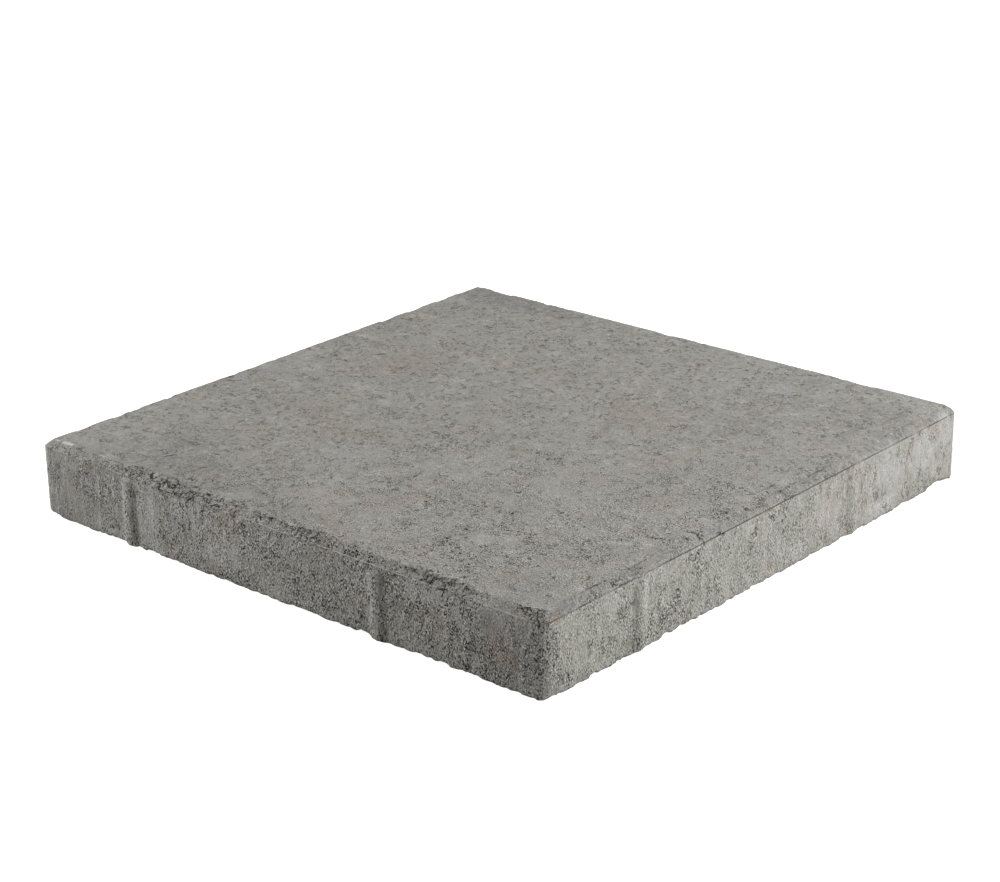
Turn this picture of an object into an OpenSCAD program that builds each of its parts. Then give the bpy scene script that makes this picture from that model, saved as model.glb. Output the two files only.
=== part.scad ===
// Square concrete paving slab: one cast block, lying on its bed face with its walking face up.
// The origin is the middle of the bed face, +Z points up and the sides face along X and Y.

/* [Laying grid] */
// Pitch of the square grid that the slabs are laid on
grid_pitch = 400; // [320:10:600]
// How far a spacer nib stands out of its side, which is the joint it leaves to the next slab
nib_depth = 2.5; // [1.5:0.5:4]

/* [Slab] */
// Thickness from the bed face to the walking face
thickness = 48; // [30:1:100]
// Radius of the four upright corners
corner_r = 7; // [7:0.5:15]
// Width of the chamfer round the walking face, seen from above
chamfer_w = 6; // [2:0.5:6.5]
// Height of that chamfer
chamfer_h = 4; // [2:0.5:10]

/* [Spacer nibs] */
// Width of a nib where it leaves its side
nib_w = 11; // [8:0.5:20]
// Distance between the middles of the two nibs on a side
nib_spacing = 201; // [60:1:240]
// How far the pair sits left of the side's middle, so that the nibs of two slabs miss each other
nib_shift = 18.5; // [12:0.5:30]
// Upright distance between a nib's top and the lower edge of the chamfer
nib_stop = 2; // [0.5:0.5:10]

/* [Hidden] */
$fn = 96;

side = grid_pitch - nib_depth;
half_side = side / 2;
corner_at = half_side - corner_r;
arris_z = thickness - chamfer_h;

// A nib is a slice of an upright round bar of this radius, sunk into the side
nib_r = (pow(nib_w / 2, 2) + pow(nib_depth, 2)) / (2 * nib_depth);
nib_sink = nib_r - nib_depth;
nib_top = arris_z - nib_stop;
// How far the nib's sloping top runs on inside the slab
nib_bite = 1;

// Upright section from a middle line out to a face, with the chamfer at the top
function section(reach) = [
    [0, 0],
    [reach, 0],
    [reach, arris_z],
    [reach - chamfer_w, thickness],
    [0, thickness]
];

// The straight part of one side, from the middle of the slab out to the +X face
module side_block() {
    translate([0, corner_at, 0])
        rotate([90, 0, 0])
            linear_extrude(height = 2 * corner_at)
                polygon(section(half_side));
}

// One rounded corner, where the chamfer runs round as a cone
module corner_block() {
    translate([corner_at, corner_at, 0])
        rotate_extrude()
            polygon(section(corner_r));
}

// One nib on the +X face: upright from the bed face, then sloping back into the side at 45 degrees
module nib(along) {
    slope_z = nib_top - nib_depth;
    slope_h = nib_depth + nib_bite;
    translate([half_side - nib_sink, along, 0]) {
        cylinder(h = slope_z, r = nib_r);
        translate([0, 0, slope_z])
            cylinder(h = slope_h, r1 = nib_r, r2 = nib_r - slope_h);
    }
}

module slab() {
    color("#969590")
        for (turn = [0:90:270])
            rotate([0, 0, turn]) {
                side_block();
                corner_block();
                for (end = [-1, 1])
                    nib(end * nib_spacing / 2 - nib_shift);
            }
}

slab();
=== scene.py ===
import math

import bpy
import numpy as np
from mathutils import Matrix, Vector


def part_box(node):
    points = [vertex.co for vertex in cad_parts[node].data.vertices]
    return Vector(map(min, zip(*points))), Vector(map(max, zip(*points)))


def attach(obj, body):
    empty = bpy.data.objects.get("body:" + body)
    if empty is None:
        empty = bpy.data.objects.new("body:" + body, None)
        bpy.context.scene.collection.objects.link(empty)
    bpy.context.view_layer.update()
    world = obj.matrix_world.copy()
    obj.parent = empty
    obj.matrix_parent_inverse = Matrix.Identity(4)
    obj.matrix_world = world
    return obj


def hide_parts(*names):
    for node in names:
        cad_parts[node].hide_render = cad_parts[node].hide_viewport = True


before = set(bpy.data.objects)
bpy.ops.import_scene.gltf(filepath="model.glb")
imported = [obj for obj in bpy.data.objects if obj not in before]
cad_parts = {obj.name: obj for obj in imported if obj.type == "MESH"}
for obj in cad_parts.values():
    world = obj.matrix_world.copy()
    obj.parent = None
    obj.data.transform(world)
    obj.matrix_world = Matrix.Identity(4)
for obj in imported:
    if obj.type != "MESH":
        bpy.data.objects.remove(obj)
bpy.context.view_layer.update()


# ------------------------------------------------------------------------------------------------
# The slab: one block of earth-damp concrete, pressed and vibrated in a steel mould under a tamper
# head, then stripped upwards while still soft. The steel leaves crisp edges, nibs and upright drag
# marks. Where the mix was too dry the skin stayed open, and the tamper's edge tore the chamfer.
# ------------------------------------------------------------------------------------------------

MM = 0.001
slab_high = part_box("slab")[1]

# The mould, in millimetres
nib_depth = 2.5
half_side = slab_high.x / MM - nib_depth
thickness = slab_high.z / MM
corner_r = 7.0
chamfer_w = 6.0
chamfer_h = 4.0
nib_w = 11.0
nib_spacing = 201.0
nib_shift = 18.5
nib_stop = 2.0
corner_at = half_side - corner_r
arris_z = thickness - chamfer_h
nib_top = arris_z - nib_stop
nib_r = ((nib_w / 2) ** 2 + nib_depth ** 2) / (2 * nib_depth)
nib_sink = nib_r - nib_depth


def chance(cell, seed):
    """A fixed random number from 0 to 1 for each whole-numbered cell: large odd factors mix its bits."""
    x, y, z = (cell[..., n].astype(np.int64) for n in range(3))
    h = (x * 374761393 + y * 668265263 + z * 1440670441 + seed * 1274126177) & 0xFFFFFFFF
    h = ((h ^ (h >> 13)) * 1274126177) & 0xFFFFFFFF
    h = ((h ^ (h >> 16)) * 2246822519) & 0xFFFFFFFF
    return ((h ^ (h >> 15)) & 0xFFFFFF) / 0xFFFFFF


def lumps(points, size, seed, octaves=3):
    """Soft lumps about size millimetres across, from 0 to 1 with most of it near 0.5."""
    total = np.zeros(len(points))
    weights = 0.0
    for octave in range(octaves):
        at = points * (2.0 ** octave / size) + 17.3 * octave
        cell = np.floor(at)
        part = at - cell
        part = part * part * (3 - 2 * part)
        value = np.zeros(len(points))
        for corner in range(8):
            step = np.array([corner & 1, corner >> 1 & 1, corner >> 2 & 1])
            share = np.where(step, part, 1 - part).prod(axis=1)
            value += share * chance(cell + step, seed + octave)
        weight = 0.6 ** octave
        total += weight * value
        weights += weight
    return total / weights


def bowls(points, pitch, seed, least, most):
    """Round hollows, one to a cell of pitch millimetres: 1 in the middle of each, 0 outside them."""
    at = points / pitch
    home = np.floor(at)
    deepest = np.zeros(len(points))
    for n in range(27):
        cell = home + np.array([n % 3 - 1, n // 3 % 3 - 1, n // 9 - 1])
        middle = cell + np.stack([chance(cell, seed + k) for k in (1, 2, 3)], axis=1)
        radius = least + (most - least) * chance(cell, seed + 4) ** 2
        away = np.linalg.norm(at - middle, axis=1) / radius
        deepest = np.maximum(deepest, 1 - away * away)
    return deepest


def crumbs(points, pitch, seed):
    """A broken face: each crumb of about pitch millimetres has its own height, with a gap round it."""
    at = points / pitch
    home = np.floor(at)
    nearest = np.full(len(points), 9.0)
    second = nearest.copy()
    height = np.zeros(len(points))
    for n in range(27):
        cell = home + np.array([n % 3 - 1, n // 3 % 3 - 1, n // 9 - 1])
        middle = cell + np.stack([chance(cell, seed + k) for k in (1, 2, 3)], axis=1)
        away = np.linalg.norm(at - middle, axis=1)
        closer = away < nearest
        second = np.where(closer, nearest, np.minimum(second, away))
        height = np.where(closer, chance(cell, seed + 4), height)
        nearest = np.minimum(nearest, away)
    return height, second - nearest


def ramp(value, start, end):
    """0 at start, 1 at end, and an even curve between, whichever of them is the larger."""
    part = np.clip((value - start) / (end - start), 0, 1)
    return part * part * (3 - 2 * part)


# The mould's shape is a box of grid lines: evenly spaced along the straight of each side, a few
# round each corner, and rows up the side and over the chamfer that crowd together at the arris

mesh_step = 1.35
corner_steps = 6
side_row_count = 34
chamfer_row_count = 5
straight_steps = round(2 * corner_at / mesh_step)
straight = np.linspace(-corner_at, corner_at, straight_steps + 1)
round_share = np.linspace(0, 1, corner_steps + 1)[1:]
line_at = np.concatenate([np.full(corner_steps, -corner_at), straight, np.full(corner_steps, corner_at)])
line_turn = np.concatenate([-round_share[::-1], np.zeros(len(straight)), round_share])

side_rows = np.linspace(0, arris_z - 0.6, side_row_count)
lip_inset = np.array([0.0, 0.25, 0.9])
lip_rows = np.stack([arris_z + np.array([-0.15, 0.1, 0.5]), lip_inset], axis=1)
chamfer_inset = np.linspace(1.8, chamfer_w, chamfer_row_count)
chamfer_rows = np.stack([arris_z + chamfer_h / chamfer_w * chamfer_inset, chamfer_inset], axis=1)
rows = np.concatenate([np.stack([side_rows, 0 * side_rows], axis=1), lip_rows, chamfer_rows])
row_z, row_inset = rows.T

lines, levels = len(line_at), len(rows)
outside = np.zeros((lines, lines, levels), bool)
outside[[0, -1]] = outside[:, [0, -1]] = outside[:, :, [0, -1]] = True
number = np.full(outside.shape, -1)
number[outside] = np.arange(outside.sum())
line_x, line_y, level = np.nonzero(outside)


def quads(sheet):
    """The faces of a grid of point numbers, turning from its first axis to its second."""
    return np.stack([sheet[:-1, :-1], sheet[1:, :-1], sheet[1:, 1:], sheet[:-1, 1:]], axis=-1).reshape(-1, 4)


faces = np.concatenate([
    quads(number[:, :, -1]),
    quads(number[:, :, 0].T),
    quads(number[-1]),
    quads(number[0].T),
    quads(number[:, 0]),
    quads(number[:, -1].T),
])

turn = np.stack([line_turn[line_x], line_turn[line_y]], axis=1)
away = np.abs(turn)
both = (away > 0).all(axis=1)
reach = corner_r - row_inset[level]
rounding = np.where(both, away.max(axis=1) / np.maximum(np.hypot(*away.T), 1e-9), 1)
flat = np.stack([line_at[line_x], line_at[line_y]], axis=1) + turn * (reach * rounding)[:, None]
shape = np.column_stack([flat, row_z[level]])

# Which points lie on a side, and which way they face there
on_side = (line_x == 0) | (line_x == lines - 1) | (line_y == 0) | (line_y == lines - 1)
outward = np.where(both[:, None] | (away == 1), turn, 0)
outward = outward / np.maximum(np.linalg.norm(outward, axis=1), 1e-9)[:, None]
upright = on_side & (level < len(side_rows))
chamfer = on_side & ~upright
walking = level == levels - 1
bed = level == 0

# The nibs: slices of an upright round bar on each side, sloping back into the side at their tops, and
# each worn down a little
side_ways = [(1, 0), (0, 1), (-1, 0), (0, -1)]
left_after_wear = [(0.70, 0.45), (0.80, 0.75), (0.75, 0.80), (0.84, 0.80)]
nib_reach = np.zeros(len(shape))
for way, left in zip(side_ways, left_after_wear):
    facing = upright & (outward @ np.array(way) > 0.99)
    along = shape[:, 1] * way[0] - shape[:, 0] * way[1]
    radius = nib_r - np.clip(shape[:, 2] - (nib_top - nib_depth), 0, nib_r)
    for end, share in zip((-1, 1), left):
        off = along - (end * nib_spacing / 2 - nib_shift)
        bulge = np.sqrt(np.clip(radius ** 2 - off ** 2, 0, None)) - nib_sink
        nib_reach = np.maximum(nib_reach, np.where(facing, share * bulge, 0))
shape[:, :2] += outward * nib_reach[:, None]

x, y, z = shape.T
near_edge = np.maximum(np.abs(x), np.abs(y))
front, right_side = -half_side, half_side


def blots(places, on):
    """Soft-edged blots on one face: for each its middle, its half width and height, and its amount."""
    total = np.zeros(len(shape))
    wander = lumps(shape, 9.0, 5, 3) - 0.5
    for at_u, at_v, wide, high, amount in places:
        if on == "front":
            across, upward, off = x, z, np.abs(y - front)
        elif on == "right":
            across, upward, off = y, z, np.abs(x - right_side)
        else:
            across, upward, off = x, y, 2 * np.abs(z - thickness)
        apart = np.hypot((across - at_u) / wide, (upward - at_v) / high) + 1.3 * wander
        total += amount * ramp(apart, 1.15, 0.45) * ramp(off, 11.0, 7.0)
    return total


# How the skin closed up: 0 is smooth paste, 1 is open and full of pores
patches = lumps(shape, 34.0, 11, 4)
side_or_top = np.where(on_side, 0.10, -0.04)
open_skin = ramp(patches + side_or_top, 0.36, 0.66)
open_skin += blots([
    (-170, 30, 22, 11, 0.6),
    (-66, 31, 24, 10, 0.15),
    (-14, 33, 16, 8, 0.25),
    (20, 22, 26, 16, 0.5),
    (48, 14, 22, 10, 0.5),
    (150, 32, 10, 8, 0.4),
    (168, 20, 16, 11, 0.8),
], "front")
open_skin -= blots([
    (-182, 10, 14, 8, 0.4),
    (-104, 26, 12, 18, 0.7),
    (-113, 20, 5, 26, 0.6),
    (-38, 14, 18, 10, 0.7),
    (112, 38, 24, 6, 0.9),
    (174, 40, 14, 4, 0.3),
    (190, 38, 10, 12, 0.5),
    (-48, 36, 10, 7, 0.4),
], "front")
open_skin += blots([
    (-158, 12, 40, 12, 0.5),
    (-97, 12, 8, 7, 0.9),
    (-75, 38, 8, 5, 0.5),
    (-55, 30, 8, 8, 0.5),
    (-35, 13, 10, 8, 0.6),
    (-17, 18, 7, 7, 0.5),
    (3, 17, 10, 8, 0.4),
    (68, 9, 5, 5, 0.6),
], "right")
open_skin -= blots([
    (60, 26, 18, 18, 0.8),
    (130, 26, 34, 20, 0.6),
    (180, 20, 14, 20, 0.5),
    (-145, 38, 13, 8, 0.6),
], "right")
open_skin += blots([
    (-50, -168, 95, 24, 0.7),
    (120, -130, 75, 38, 0.4),
    (30, -120, 40, 20, 0.3),
    (150, -168, 34, 20, 0.5),
    (178, -120, 14, 30, 0.3),
], "top")
open_skin -= blots([(-177, -182, 16, 14, 1.0), (0, -20, 40, 30, 0.3)], "top")
open_skin = np.clip(open_skin, 0, 1)

# The mix was driest towards one corner of the mould, and the side that it was stripped from last is
# the roughest: coarse is how much of the grit shows
from_dry_corner = np.hypot(x - half_side, y + half_side)
on_front = on_side & (outward[:, 1] < -0.7)
coarse = 0.75 - 0.46 * ramp(from_dry_corner, 120, 340)
coarse = np.where(on_side & ~walking, 0.66 - 0.38 * ramp(from_dry_corner, 80, 370), coarse)
front_coarse = 0.5 + 0.48 * ramp(x, -190, 0) - 0.2 * upright * ramp(x, 80, 180)
coarse = np.where(on_front & ~walking, front_coarse, coarse)
coarse = np.where(chamfer & ~on_front, 0.75 * coarse, coarse)

# Where the edge of the tamper head tore the chamfer on the front side, and what chipped elsewhere
torn = blots([
    (-160, thickness, 7, 6, 0.35),
    (-118, thickness, 12, 6, 0.5),
    (-72, thickness, 46, 9, 1.0),
    (-42, thickness, 18, 9, 0.7),
    (28, thickness, 30, 6, 0.5),
    (124, thickness, 27, 8, 0.5),
    (188, thickness - 1, 8, 6, 1.0),
], "front")
torn += blots([(-62, thickness, 6, 4, 0.5), (46, thickness, 4, 3, 0.4)], "right")
torn = np.clip(torn, 0, 1) * ramp(z, arris_z - 5, arris_z - 1)
elsewhere = ramp(y, front + 8, front + 20) * ramp(x, right_side - 8, right_side - 20)
elsewhere *= ramp(lumps(shape, 30.0, 23), 0.62, 0.76) * ramp(z, arris_z - 2, arris_z)
torn = np.maximum(torn, 0.6 * elsewhere)
torn *= ramp(near_edge, half_side - 11, half_side - 8)

# Short cracks, listed one by one, each a chain of points seen from above: how far off its line a point
# lies, and how close to it
too_far = 9.0
crack_off = np.full(len(shape), too_far)
for chain in (
    [(187.5, -64.5), (193, -63.7), (196, -63), (199, -62.8)],
    [(197.8, -49), (198.8, -45)],
    [(-118, -169), (-116, -165)],
    [(-88.5, -171), (-87, -166)],
    [(180.5, -194), (184.5, -195.8), (183.5, -192.5), (189.5, -190.9)],
    [(189.5, -191), (190.7, -194.2), (195, -198)],
):
    for begin, end in zip(chain, chain[1:]):
        run = np.subtract(end, begin)
        from_begin = shape[:, :2] - begin
        share = np.clip((from_begin @ run) / (run @ run), 0, 1)
        apart = np.linalg.norm(from_begin - share[:, None] * run, axis=1)
        apart *= np.sign(run[0] * from_begin[:, 1] - run[1] * from_begin[:, 0])
        crack_off = np.where(np.abs(apart) < np.abs(crack_off), apart, crack_off)
crack_near = ramp(np.abs(crack_off), 3.6, 1.6) * ramp(z, arris_z - 3, arris_z - 1)
# The offset is handed to the material as a share of this many millimetres
crack_span = 20.0

# The relief, in millimetres into the slab: the skin waves, is uneven with grit, drags upwards on the
# sides, has small and large pits where it stayed open, and breaks into crumbs where it was torn
grit = lumps(shape, 4.5, 31, 3)
fine = lumps(shape, 2.4, 41, 2)
tilt = lumps(shape, 5.0, 45, 2)
wave = lumps(shape, 60.0, 51, 2)
drag = lumps(shape * np.array([1, 1, 0.15]), 4.0, 61, 2)
small_pits = bowls(shape, 3.2, 71, 0.12, 0.48)
large_pits = bowls(shape, 7.0, 81, 0.10, 0.38)
crumb_height, crumb_gap = crumbs(shape + 2.0 * np.stack([grit, fine, tilt], axis=1), 5.5, 91)

pitting = small_pits * (0.15 + 0.85 * open_skin) * (1 - 0.7 * torn)
big_pitting = large_pits * ramp(open_skin, 0.4, 1) * (1 - torn)
depth = 0.05 + 0.2 * wave
unevenness = np.where(walking | (chamfer & ~on_front), 0.25, 0.45)
depth += unevenness * (0.35 + 0.65 * open_skin) * (grit + 0.6 * fine - 0.7)
depth += upright * 0.15 * (drag - 0.4)
pit_depth = np.where(walking, 0.35, 0.6)
big_pit_depth = np.where(walking, 0.45, 0.9)
depth += pit_depth * pitting + big_pit_depth * big_pitting
torn_away = torn * (0.15 + 0.4 * crumb_height + 0.1 * ramp(crumb_gap, 0.20, 0.02))

# The rim of the walking face is rounded off in places, less along the front and the right side
from_rim = np.abs(near_edge - half_side + chamfer_w)
rounded_off = ramp(np.abs(z - thickness), 2.5, 0.5) * ramp(from_rim, 5, 1)
worn_rim = 0.9 - 0.4 * ramp(np.maximum(x, -y), half_side - 14, half_side - 10)
depth += worn_rim * rounded_off * ramp(lumps(shape, 14.0, 121, 3), 0.48, 0.70)
depth = np.where(bed, 0.1 + 0.4 * pitting * open_skin, depth + torn_away)

# The tamper left a lip along the arris on the front, and a fine groove along it on the other sides
lip_row = level - len(side_rows)
at_arris = (lip_row == 0) | (lip_row == 1)
over_arris = (lip_row >= 2) & (lip_row <= 4)
lip_height = 0.45
groove_depth = 0.9
deepest = 3.4
whole = 1 - ramp(torn, 0.2, 0.6)
plan = shape * np.array([1, 1, 0])
lip_at = on_front * whole * ramp(lumps(plan, 16.0, 27, 3) + 0.22 * ramp(x, -150, 0), 0.50, 0.66)
groove_at = ~on_front * on_side * whole * (0.45 + 0.55 * ramp(lumps(plan, 12.0, 29, 2), 0.35, 0.6))
depth += lip_height * over_arris * lip_at
depth += groove_depth * at_arris * groove_at
depth = np.clip(depth, 0.03, deepest)
# Painted shade: the pits and the fine groove along the arris are darkened in colour as well as sunk, for the
# shade that falls in them
hollow_shade = 0.5 * pitting + 0.8 * big_pitting
hollow_shade = np.maximum(hollow_shade, at_arris * groove_at)

# The bed edge: grains roll out under the mould, so it is a row of small bulges with notches between
scallop = 1 - bowls(plan, 9.0, 101, 0.50, 0.90)
scallop = 0.55 * scallop + 0.45 * (1 - bowls(plan, 4.0, 111, 0.4, 0.9))
notch = ramp(lumps(plan, 8.0, 141, 3), 0.60, 0.76)
notch += blots([(-193, 0, 8, 4, 1.0), (70.5, 0, 5, 4, 1.0), (181, 0, 3, 4, 0.6)], "front")
notch += blots([
    (-97, 3, 6, 7, 1.0),
    (-158, 0, 4, 4, 1.0),
    (175, 0, 14, 5, 2.0),
    (-192, 0, 4, 4, 0.8),
], "right")
highest_lift = 3.0
at_bed = ramp(z, 7.0, 0.2) * ramp(near_edge, half_side - 7, half_side - 1)
lift = at_bed * np.clip(0.05 + 0.75 * scallop ** 3 + 0.95 * notch, 0, highest_lift)
tuck = ramp(z, 1.8, 0) * on_side * (0.2 + 0.7 * scallop + 0.5 * notch)

# The relief goes straight into each face, and a little inwards too at the rims of the walking face and
# of the bed face
slope = math.hypot(chamfer_w, chamfer_h)
sink = np.where(chamfer, chamfer_w / slope, np.where(upright, 0, 1.0))
sink = np.where(bed, -1.0, sink)
push_in = np.where(chamfer, chamfer_h / slope, 1.0)
push_in = np.where(on_side & (walking | bed), 0.4, push_in) * on_side
skin = shape.copy()
skin[:, :2] -= outward * (depth * push_in + tuck)[:, None]
skin[:, 2] += lift - sink * depth
skin[:, 2] = np.clip(skin[:, 2], 0, thickness - 0.02)

# Stains: pale lime bloom and closed paste, brown from the aggregate, green-grey from damp, and a
# darker grey that is partly duller paste and partly painted shade
pale = blots([
    (-160, thickness, 34, 5, 0.3),
    (-62, 34, 22, 12, 0.65),
    (0, 34, 16, 10, 0.35),
    (-105, 26, 12, 16, 0.6),
    (-38, 14, 18, 9, 0.5),
    (-28, 30, 24, 12, 0.25),
    (68, 26, 22, 16, 0.5),
    (124, 37, 26, 10, 0.75),
    (118, 20, 20, 14, 0.25),
    (-58, 16, 14, 14, 0.4),
    (-80, 24, 8, 8, 0.3),
    (-18, 24, 9, 8, 0.35),
    (84, 24, 9, 8, 0.35),
    (8, 37, 12, 7, 0.25),
    (56, 10, 8, 7, 0.3),
], "front")
pale += blots([
    (-145, 38, 14, 8, 0.4),
    (2, 22, 20, 14, 0.35),
    (44, 22, 10, 10, 0.35),
    (60, 27, 17, 17, 0.35),
    (100, 24, 10, 10, 0.35),
    (114, 10, 10, 8, 0.3),
    (-155, 24, 8, 8, 0.25),
    (-5, 37, 8, 7, 0.35),
    (24, 9, 26, 8, 0.5),
    (72, 10, 9, 8, 0.4),
    (108, 8, 14, 8, 0.5),
    (122, 28, 20, 20, 0.5),
    (158, 28, 16, 18, 0.5),
    (184, 36, 12, 12, 0.5),
], "right")
pale += blots([
    (-178, -182, 15, 13, 0.35),
    (-82, -22, 8, 6, 0.5),
    (-71, 38, 7, 5, 0.5),
    (-28, 25, 8, 6, 0.5),
    (-31, 58, 7, 5, 0.5),
    (97, 151, 14, 9, 0.5),
    (181, -91, 7, 4, 0.8),
    (-28, 118, 30, 20, 0.25),
    (-58, -44, 40, 16, 0.25),
    (-32, -95, 22, 40, 0.3),
    (-182, -10, 14, 50, 0.35),
    (180, 184, 22, 12, 0.3),
    (150, -120, 14, 14, 0.3),
    (-60, 150, 22, 12, 0.3),
    (-182, 150, 14, 16, 0.3),
], "top")

# Rubbed white and painted highlight: the lip is painted light, partly paler rubbed paste and partly
# the light its fin catches. Short runs along the front rim and three spots near its left end are rubbed
# white
on_rim = ramp(np.abs(z - thickness), 1.0, 0.3)
rubbed_white_and_highlight = 0.65 * at_arris * lip_at
rubbed_white_and_highlight += on_rim * ramp(from_rim, 1.6, 0.6) * on_front * 0.65 * ramp(lumps(plan, 9.0, 131, 2), 0.60, 0.70)
rubbed = np.zeros(len(shape))
for middle, reach_each_way in ((-189, 2.0), (-179.5, 4.8), (-147.8, 3.0)):
    rubbed += ramp(np.abs(x - middle), reach_each_way + 1.2, reach_each_way - 0.6)
rubbed *= on_rim * ramp(from_rim, 2.6, 0.6)
rubbed_white_and_highlight += rubbed * (0.5 + 0.5 * ramp(lumps(plan, 3.2, 137, 2), 0.30, 0.50)) * ramp(y, 0, -40)

brown = blots([
    (-170, 30, 20, 10, 0.2),
    (60, 20, 20, 14, 0.6),
    (115, 22, 24, 12, 0.5),
    (168, 20, 14, 10, 0.7),
    (176, 24, 12, 24, 0.25),
], "front")
brown += blots([(-187, 43, 5, 2.5, 0.9), (52, 24, 24, 16, 0.5), (22, 20, 16, 14, 0.2)], "right")
brown += blots([
    (-70, -60, 60, 30, 0.25),
    (10, -150, 30, 20, 0.25),
    (-120, 40, 30, 40, 0.4),
    (60, 60, 40, 30, 0.3),
], "top")
damp = ramp(x, right_side - 2, right_side) * upright * (0.4 - 0.25 * ramp(y, 20, 60))
damp += blots([
    (-40, 22, 36, 18, 0.3),
    (41, 31, 8, 8, 0.8),
    (78, 16, 4, 9, 0.9),
    (20, 16, 16, 10, 0.3),
], "right")
damp += blots([(-160, 12, 36, 10, 0.2), (100, 14, 30, 10, 0.4), (0, 12, 30, 8, 0.3)], "front")

# Partly painted shade, partly duller paste: the chamfers off the front, the ends of the front, spots on the
# right side and patches of the walking face are darkened, the walking face's right part because the lamps
# leave it too bright
dull_and_painted_shade = (chamfer & ~on_front) * 0.64
dull_and_painted_shade += blots([
    (-168, 22, 32, 28, 0.6),
    (-160, thickness, 34, 5, 0.35),
    (172, 20, 26, 28, 0.6),
    (187, 26, 8, 20, 0.8),
    (176, 34, 14, 12, 0.4),
    (-186, 10, 11, 10, 0.6),
    (26, 10, 24, 8, 0.35),
    (-125, 38, 9, 9, 0.6),
], "front")
dull_and_painted_shade += blots([
    (165, 8, 34, 9, 0.3),
    (20, 37, 10, 7, 0.2),
    (-108, 36, 10, 8, 0.35),
    (-93, 10, 9, 8, 0.4),
    (-50, 36, 9, 8, 0.3),
    (-35, 10, 9, 7, 0.4),
    (130, 24, 9, 9, 0.35),
], "right")
dull_and_painted_shade += blots([
    (-178, -182, 15, 13, 0.2),
    (-140, -50, 50, 100, 0.2),
    (-120, -135, 40, 30, 0.25),
    (150, -166, 44, 18, 0.25),
    (140, 20, 60, 90, 0.25),
    (130, 165, 60, 35, 0.35),
    (178, 125, 25, 40, 0.45),
    (-150, 184, 60, 24, 0.8),
    (120, 125, 50, 30, 0.25),
    (30, -182, 50, 14, 0.3),
    (168, -180, 30, 16, 0.35),
    (105, 88, 34, 24, 0.35),
    (-80, -180, 110, 18, 0.35),
    (-120, -160, 42, 26, 0.35),
], "top")

# Dark mottling and pale flecks, strong on the right side and on the walking face away from the dry corner
mottled = 0.85 * ramp(x, right_side - 2, right_side)
mottled = np.where(walking | chamfer, 0.5 + 0.5 * ramp(from_dry_corner, 120, 360), mottled)
flecked = mottled * np.where(walking, 1.0, 0.7 * upright)

mesh = bpy.data.meshes.new("slab_skin")
mesh.vertices.add(len(skin))
mesh.vertices.foreach_set("co", (skin * MM).astype(np.float32).ravel())
mesh.loops.add(faces.size)
mesh.loops.foreach_set("vertex_index", faces.astype(np.int32).ravel())
mesh.polygons.add(len(faces))
mesh.polygons.foreach_set("loop_start", np.arange(0, faces.size, 4, dtype=np.int32))
mesh.update(calc_edges=True)

# What the material needs to know at each place, from 0 to 1
skin_notes = {
    "open_skin": open_skin,
    "upright": upright * 1.0,
    "coarse": coarse,
    "hollow_shade": hollow_shade,
    "torn": torn,
    "mottled": mottled,
    "flecked": flecked,
    "dull_and_painted_shade": dull_and_painted_shade,
    "crack_near": crack_near,
    "crack_off": 0.5 + crack_off / crack_span,
    "pale": pale,
    "rubbed_white_and_highlight": rubbed_white_and_highlight,
    "brown": brown,
    "damp": damp,
}
for name, values in skin_notes.items():
    layer = mesh.attributes.new(name, "FLOAT", "POINT")
    layer.data.foreach_set("value", np.clip(values, 0, 1).astype(np.float32))

# The arris with its groove, and the whole chamfer on the front, keep their fine mesh, and the rest is
# thinned where it is flat
slab = bpy.data.objects.new("slab_cast", mesh)
bpy.context.scene.collection.objects.link(slab)
most_triangles = 196000
keep = slab.vertex_groups.new(name="keep")
kept = np.nonzero(on_side & (lip_row >= -1) & ((lip_row <= 2) | on_front))[0]
keep.add(kept.tolist(), 1.0, "REPLACE")
thin = slab.modifiers.new("thin", "DECIMATE")
thin.ratio = most_triangles / (2 * len(faces))
thin.vertex_group = "keep"
thin.invert_vertex_group = True
thinned = slab.evaluated_get(bpy.context.evaluated_depsgraph_get())
slab.data = bpy.data.meshes.new_from_object(thinned)
slab.modifiers.clear()
slab.data.shade_smooth()

# A flat layout for baking on one square sheet: the walking face, the bed face beside it at a smaller
# scale, and the four sides in strips above them
flat_mesh = slab.data
points = np.empty(3 * len(flat_mesh.vertices), np.float32)
flat_mesh.vertices.foreach_get("co", points)
corners_of = np.empty(len(flat_mesh.loops), np.int32)
flat_mesh.loops.foreach_get("vertex_index", corners_of)
loop_x, loop_y, loop_z = (points.reshape(-1, 3)[corners_of] / MM).T
loops_each = np.empty(len(flat_mesh.polygons), np.int32)
flat_mesh.polygons.foreach_get("loop_total", loops_each)
middles = np.empty(3 * len(flat_mesh.polygons), np.float32)
flat_mesh.polygons.foreach_get("center", middles)
facings = np.empty(3 * len(flat_mesh.polygons), np.float32)
flat_mesh.polygons.foreach_get("normal", facings)
mid_x, mid_y, mid_z = np.repeat(middles.reshape(-1, 3) / MM, loops_each, axis=0).T
up_facing = np.repeat(facings.reshape(-1, 3)[:, 2], loops_each)
sheet_reach = slab_high.x / MM + 1.0
across_x = 0.5 + 0.5 * loop_x / sheet_reach
across_y = 0.5 + 0.5 * loop_y / sheet_reach
top_share, bed_share, strip_high, gutter = 0.620, 0.360, 0.086, 0.004
u = gutter + top_share * across_x
v = gutter + top_share * across_y
under = (mid_z < 3.0) & (up_facing < -0.5)
u = np.where(under, 2 * gutter + top_share + bed_share * across_x, u)
v = np.where(under, gutter + bed_share * across_y, v)
side_of = np.where(np.abs(mid_x) > np.abs(mid_y), np.where(mid_x > 0, 0, 2), np.where(mid_y > 0, 1, 3))
along_side = np.where(side_of % 2 == 0, across_y, across_x)
strip_low = 2 * gutter + top_share + side_of * (strip_high + gutter)
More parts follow.
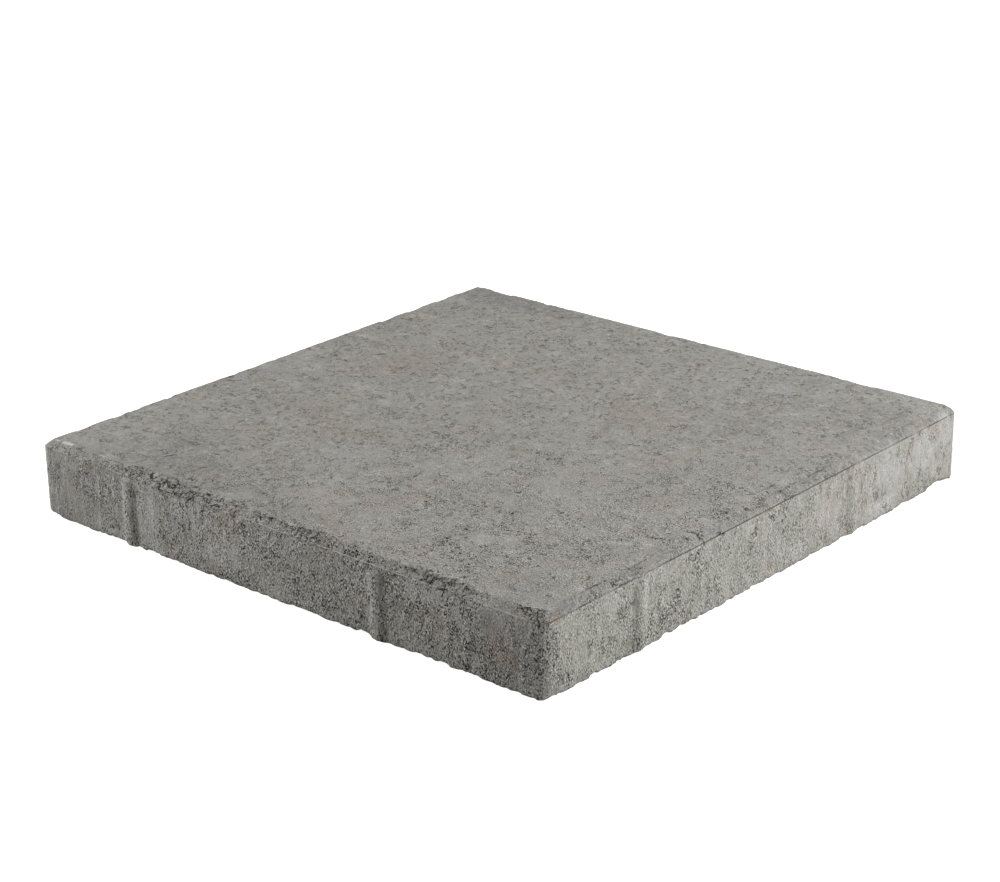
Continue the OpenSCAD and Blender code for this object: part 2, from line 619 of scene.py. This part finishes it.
on_strip = ~under & (mid_z < arris_z - 0.2)
u = np.where(on_strip, gutter + (1 - 2 * gutter) * along_side, u)
v = np.where(on_strip, strip_low + strip_high * (loop_z + 0.5) / (arris_z + 1.5), v)
sheet = flat_mesh.uv_layers.new(name="OFBake")
sheet.data.foreach_set("uv", np.stack([u, v], axis=1).astype(np.float32).ravel())


# Vibropressed concrete: cement paste over sand and fine grit, matt all over. The paste is a warm
# mid grey, smooth and pale where it closed up, dark and speckled with pores where it stayed open

def linear(code):
    """A colour written as sRGB hex, as the linear RGBA that a shader takes."""
    parts = [int(code[n:n + 2], 16) / 255 for n in (1, 3, 5)]
    return [p / 12.92 if p <= 0.04045 else ((p + 0.055) / 1.055) ** 2.4 for p in parts] + [1.0]


def add(tree, kind, inputs=None, out=0, **settings):
    """Adds a node with its settings and inputs, each a value or another's output, and gives an output."""
    node = tree.nodes.new("ShaderNode" + kind)
    for name, value in settings.items():
        setattr(node, name, value)
    for key, value in (inputs or {}).items():
        if isinstance(value, bpy.types.NodeSocket):
            tree.links.new(value, node.inputs[key])
        else:
            node.inputs[key].default_value = value
    return node.outputs[out] if len(node.outputs) else node


concrete = bpy.data.materials.new("vibropressed_concrete")
concrete.use_nodes = True
tree = concrete.node_tree
tree.nodes.clear()

# Places are in millimetres from here on. The mould draws marks out upwards on the sides: grains a
# little, clumps more, and streaks most
place = add(tree, "TexCoord", out="Object")
place = add(tree, "VectorMath", {0: place, 1: (1 / MM,) * 3}, operation="MULTIPLY")
dragged = add(tree, "VectorMath", {0: place, 1: (1, 1, 0.65)}, operation="MULTIPLY")
smeared = add(tree, "VectorMath", {0: place, 1: (1, 1, 0.55)}, operation="MULTIPLY")
drawn = add(tree, "VectorMath", {0: place, 1: (1, 1, 0.15)}, operation="MULTIPLY")
note = {name: add(tree, "Attribute", out="Fac", attribute_name=name) for name in skin_notes}

# Name, size in millimetres, octaves, how much it wanders, and how far it is drawn out upwards. The
# fines of the sand are 0.1 to 0.5 mm, too small to show, so the finest grain is drawn at 0.8 mm
noise = {}
for name, size, octaves, wander, along in (
    ("grain", 0.8, 1, 0.0, dragged),
    ("sand", 1.0, 2, 0.3, dragged),
    ("fleck", 2.4, 2, 0.5, place),
    ("clump", 6.0, 3, 0.3, smeared),
    ("streak", 2.4, 2, 0.0, drawn),
    ("patch", 42.0, 4, 0.6, place),
    ("tint", 24.0, 3, 0.8, place),
    ("cloudy", 13.0, 3, 0.5, place),
    ("mottle", 4.4, 3, 1.2, smeared),
    ("wrinkle", 5.0, 2, 1.2, place),
    ("cluster", 11.0, 3, 0.6, smeared),
):
    inputs = {"Vector": along, "Scale": 1 / size, "Detail": octaves, "Roughness": 0.6, "Distortion": wander}
    noise[name] = add(tree, "TexNoise", inputs, out="Fac")

# The gaps between packed grains of sand, and between the crumbs of a torn face, along wavy edges
waver = add(tree, "TexNoise", {"Vector": place, "Scale": 1 / 3.0, "Detail": 1.0}, out="Color")
waver = add(tree, "VectorMath", {0: waver, 1: (2.4, 2.4, 2.4), 2: dragged}, operation="MULTIPLY_ADD")
gap = {}
crumb_size = 4.4
for name, size, wide in (("sand", 1.7, 0.18), ("crumb", crumb_size, 0.09), ("shard", 9.0, 0.055)):
    inputs = {"Vector": waver, "Scale": 1 / size}
    edge = add(tree, "TexVoronoi", inputs, out="Distance", feature="DISTANCE_TO_EDGE")
    gap[name] = add(tree, "MapRange", {0: edge, 1: wide, 2: 0.2 * wide}, interpolation_type="SMOOTHSTEP")

# The limit that the sand must fall under to be a pore: higher where the skin is open or clumped
limit = add(tree, "MapRange", {0: note["open_skin"], 1: 0.0, 2: 1.0, 3: 0.345, 4: 0.455})
sway = add(tree, "MapRange", {0: noise["clump"], 1: 0.3, 2: 0.7, 3: 0.05, 4: -0.05})
limit = add(tree, "Math", {0: limit, 1: sway}, operation="ADD")
full = add(tree, "Math", {0: limit, 1: 0.07}, operation="SUBTRACT")
speck = add(tree, "Mix", {"Factor": note["upright"], "A": noise["fleck"], "B": noise["sand"]})
speck = add(tree, "Mix", {"Factor": 0.42, "A": speck, "B": noise["grain"]})
speck = add(tree, "Math", {0: gap["sand"], 1: -0.025, 2: speck}, operation="MULTIPLY_ADD")
pores = add(tree, "MapRange", {0: speck, 1: limit, 2: full}, interpolation_type="SMOOTHSTEP")

# Wrinkles where the paste was dragged: short thin lines along the middle level of a noise
line = add(tree, "Math", {0: noise["wrinkle"], 1: 0.5}, operation="SUBTRACT")
line = add(tree, "Math", {0: line}, operation="ABSOLUTE")
line = add(tree, "MapRange", {0: line, 1: 0.030, 2: 0.006}, interpolation_type="SMOOTHSTEP")
wrinkled = add(tree, "MapRange", {0: noise["cluster"], 1: 0.46, 2: 0.36}, interpolation_type="SMOOTHSTEP")
broken = add(tree, "MapRange", {0: noise["sand"], 1: 0.58, 2: 0.46}, interpolation_type="SMOOTHSTEP")
line = add(tree, "Math", {0: line, 1: wrinkled}, operation="MULTIPLY")
wrinkles = add(tree, "Math", {0: line, 1: broken}, operation="MULTIPLY")

# Cracks of a torn face, in short runs between crumbs that each have their own tone
torn_at = add(tree, "MapRange", {0: note["torn"], 1: 0.15, 2: 0.60}, interpolation_type="SMOOTHSTEP")
crumb_tone = add(tree, "TexVoronoi", {"Vector": waver, "Scale": 1 / crumb_size}, out="Color")
torn_runs = add(tree, "MapRange", {0: noise["fleck"], 1: 0.60, 2: 0.46}, interpolation_type="SMOOTHSTEP")
torn_runs = add(tree, "Math", {0: torn_runs, 1: torn_at}, operation="MULTIPLY")
cracks = {}
for name in ("crumb", "shard"):
    cracks[name] = add(tree, "Math", {0: torn_runs, 1: gap[name]}, operation="MULTIPLY")

# The listed cracks: thin wavering lines where the offset crosses zero
inputs = {0: note["crack_off"], 1: crack_span, 2: -crack_span / 2}
off = add(tree, "Math", inputs, operation="MULTIPLY_ADD")
sway = add(tree, "Math", {0: noise["fleck"], 1: 3.0, 2: -1.5}, operation="MULTIPLY_ADD")
off = add(tree, "Math", {0: off, 1: sway}, operation="ADD")
off = add(tree, "Math", {0: off}, operation="ABSOLUTE")
off = add(tree, "MapRange", {0: off, 1: 0.62, 2: 0.2}, interpolation_type="SMOOTHSTEP")
cracks["hand"] = add(tree, "Math", {0: off, 1: note["crack_near"]}, operation="MULTIPLY")

# Grit shows in clusters
clustered = add(tree, "MapRange", {0: noise["cluster"], 1: 0.60, 2: 0.40, 3: 0.55, 4: 1.25})
gritty = add(tree, "Math", {0: note["coarse"], 1: clustered}, operation="MULTIPLY")
dotted = add(tree, "Math", {0: note["mottled"], 1: clustered}, operation="MULTIPLY")

# The paste's colour, laid on in turn: which noise or note, from where to where, how much, the colour
paste = {0: noise["patch"], 6: linear("#84827c"), 7: linear("#95938e")}
colour = add(tree, "Mix", paste, out=2, data_type="RGBA")
even = 1.0
for share, low, high, amount, where, code in (
    (noise["tint"], 0.52, 0.68, 0.6, even, "#90867d"),
    (noise["tint"], 0.46, 0.32, 0.7, even, "#868980"),
    (noise["cloudy"], 0.52, 0.72, 0.6, even, "#a3a29d"),
    (noise["cloudy"], 0.46, 0.30, 0.6, even, "#74716a"),
    (note["coarse"], 0.7, 0.3, 0.3, even, "#7b7973"),
    # Darker grey, partly duller paste and partly painted shade
    (note["dull_and_painted_shade"], 0.0, 1.0, 0.7, even, "#706e6c"),
    (noise["mottle"], 0.47, 0.34, 1.10, dotted, "#5d5952"),
    (noise["mottle"], 0.56, 0.70, 0.40, note["flecked"], "#b3b1aa"),
    (note["brown"], 0.0, 1.0, 0.6, even, "#806f64"),
    (note["damp"], 0.0, 1.0, 0.7, even, "#83867d"),
    (note["pale"], 0.0, 1.0, 0.8, even, "#a0a0a0"),
    (noise["streak"], 0.50, 0.75, 0.4, even, "#aaa8a2"),
    (noise["grain"], 0.52, 0.72, 0.72, gritty, "#d2d0c9"),
    (noise["grain"], 0.48, 0.28, 1.30, gritty, "#3f3c37"),
    # Painted shade: the pores and the wrinkles are darkened in colour as well as sunk in the bump, for the
    # shade inside them
    (pores, 0.0, 1.0, 1.20, gritty, "#2a2824"),
    (wrinkles, 0.0, 1.0, 0.9, even, "#2f2c28"),
    (crumb_tone, 0.50, 0.25, 0.2, torn_at, "#4f4c47"),
    (crumb_tone, 0.50, 0.75, 0.4, torn_at, "#a6a49f"),
    # Painted shade: the cracks are darkened in colour as well as sunk in the bump, for the shade inside them
    (cracks["crumb"], 0.0, 1.0, 0.85, even, "#24221f"),
    (cracks["shard"], 0.0, 1.0, 0.9, even, "#24221f"),
    (cracks["hand"], 0.0, 1.0, 0.85, even, "#24221f"),
    # Painted shade in the pits and in the groove along the arris
    (note["hollow_shade"], 0.2, 1.0, 0.8, even, "#34312d"),
    # Painted highlight on the front lip, with rubbed white along the front rim
    (note["rubbed_white_and_highlight"], 0.2, 1.0, 0.8, even, "#c2c1bd"),
):
    amount = add(tree, "Math", {0: where, 1: amount}, operation="MULTIPLY")
    inputs = {0: share, 1: low, 2: high, 3: 0.0, 4: amount}
    share = add(tree, "MapRange", inputs, interpolation_type="SMOOTHSTEP")
    colour = add(tree, "Mix", {0: share, 6: colour, 7: linear(code)}, out=2, data_type="RGBA")

# Relief too fine for the mesh, in millimetres
relief = 0.0
for share, tall in (
    (noise["grain"], 0.45),
    (noise["sand"], 0.6),
    (pores, -0.4),
    (wrinkles, -0.4),
    (cracks["crumb"], -0.4),
    (cracks["shard"], -0.6),
    (cracks["hand"], -0.7),
):
    relief = add(tree, "Math", {0: share, 1: tall, 2: relief}, operation="MULTIPLY_ADD")
relief = add(tree, "Math", {0: relief, 1: gritty}, operation="MULTIPLY")
bump = add(tree, "Bump", {"Height": relief, "Strength": 1.0, "Distance": MM})

surface = add(tree, "BsdfPrincipled", {
    "Base Color": colour,
    "Roughness": 0.93,
    "IOR": 1.5,
    "Specular IOR Level": 0.3,
    "Normal": bump,
})
add(tree, "OutputMaterial", {"Surface": surface})
slab.data.materials.append(concrete)

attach(slab, "root")
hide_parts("slab")


# ------------------------------------------------------------------------------------------------
# The stage: a wide white floor, which shows white to the camera and keeps the slab's soft shadow.
# ------------------------------------------------------------------------------------------------

floor_half = 6.0
corners = [(u * floor_half, v * floor_half, 0) for u, v in ((-1, -1), (1, -1), (1, 1), (-1, 1))]
floor_mesh = bpy.data.meshes.new("floor")
floor_mesh.from_pydata(corners, [], [(0, 1, 2, 3)])
floor = bpy.data.objects.new("floor", floor_mesh)
bpy.context.scene.collection.objects.link(floor)

floor_paint = bpy.data.materials.new("white_floor")
floor_paint.use_nodes = True
tree = floor_paint.node_tree
tree.nodes.clear()
# To the camera the floor is a grey that glows: the lamps bring it to white, and the shadow still shows
matt = add(tree, "BsdfDiffuse", {"Color": linear("#cfcfcd")})
shaded = add(tree, "BsdfDiffuse", {"Color": linear("#a8a8a8")})
glow = add(tree, "Emission", {"Strength": 0.91})
bright = add(tree, "AddShader", {0: shaded, 1: glow})
seen = add(tree, "LightPath", out="Is Camera Ray")
add(tree, "OutputMaterial", {"Surface": add(tree, "MixShader", {0: seen, 1: matt, 2: bright})})
floor_mesh.materials.append(floor_paint)

world = bpy.data.worlds.new("studio")
bpy.context.scene.world = world
world.use_nodes = True
tree = world.node_tree
tree.nodes.clear()
dim = add(tree, "Background", {"Strength": 0.15})
white = add(tree, "Background", {"Strength": 1.0})
seen = add(tree, "LightPath", out="Is Camera Ray")
add(tree, "OutputWorld", {"Surface": add(tree, "MixShader", {0: seen, 1: dim, 2: white})})


# ------------------------------------------------------------------------------------------------
# The lamps: a large soft box behind on the right, one on the left, and a small one on the right.
# ------------------------------------------------------------------------------------------------

def soft_box(name, turned, raised, away, size, watts):
    """A square lamp looking at the slab, turned from +X towards +Y and raised, in degrees."""
    turned, raised = math.radians(turned), math.radians(raised)
    flat = math.cos(raised)
    at = Vector((math.cos(turned) * flat, math.sin(turned) * flat, math.sin(raised))) * away
    lamp = bpy.data.lights.new(name, "AREA")
    lamp.size = size
    lamp.energy = watts
    holder = bpy.data.objects.new(name, lamp)
    holder.location = at
    holder.rotation_euler = (-at).to_track_quat("-Z", "Y").to_euler()
    bpy.context.scene.collection.objects.link(holder)


soft_box("back_box", turned=58, raised=25, away=1.6, size=0.9, watts=27.8)
soft_box("left_box", turned=-150, raised=25, away=1.6, size=0.9, watts=28.8)
soft_box("right_box", turned=8, raised=25, away=1.0, size=0.5, watts=5.7)


# ------------------------------------------------------------------------------------------------
# The camera: a long lens a metre and a half away, looking down on the slab's front corner.
# ------------------------------------------------------------------------------------------------

# Turned from -Y towards +X, raised and rolled. The stand is in metres, the lens in millimetres
turned = math.radians(41.441)
raised = math.radians(21.2655)
roll = math.radians(-0.8879)
stand_away = 1.51729
stand_left = 0.003374
stand_up = 0.032773
sensor_width = 36
focal_length = 88.618
back = Vector((math.sin(turned) * math.cos(raised), -math.cos(turned) * math.cos(raised), math.sin(raised)))
right = Vector((0, 0, 1)).cross(back).normalized()
up = back.cross(right)
right, up = right * math.cos(roll) + up * math.sin(roll), up * math.cos(roll) - right * math.sin(roll)

lens = bpy.data.cameras.new("camera")
lens.sensor_width = sensor_width
lens.lens = focal_length
camera = bpy.data.objects.new("camera", lens)
stand = Matrix.Translation(back * stand_away - right * stand_left + up * stand_up)
camera.matrix_world = stand @ Matrix((right, up, back)).transposed().to_4x4()
bpy.context.scene.collection.objects.link(camera)
bpy.context.scene.camera = camera
bpy.context.scene.view_settings.view_transform = "Standard"
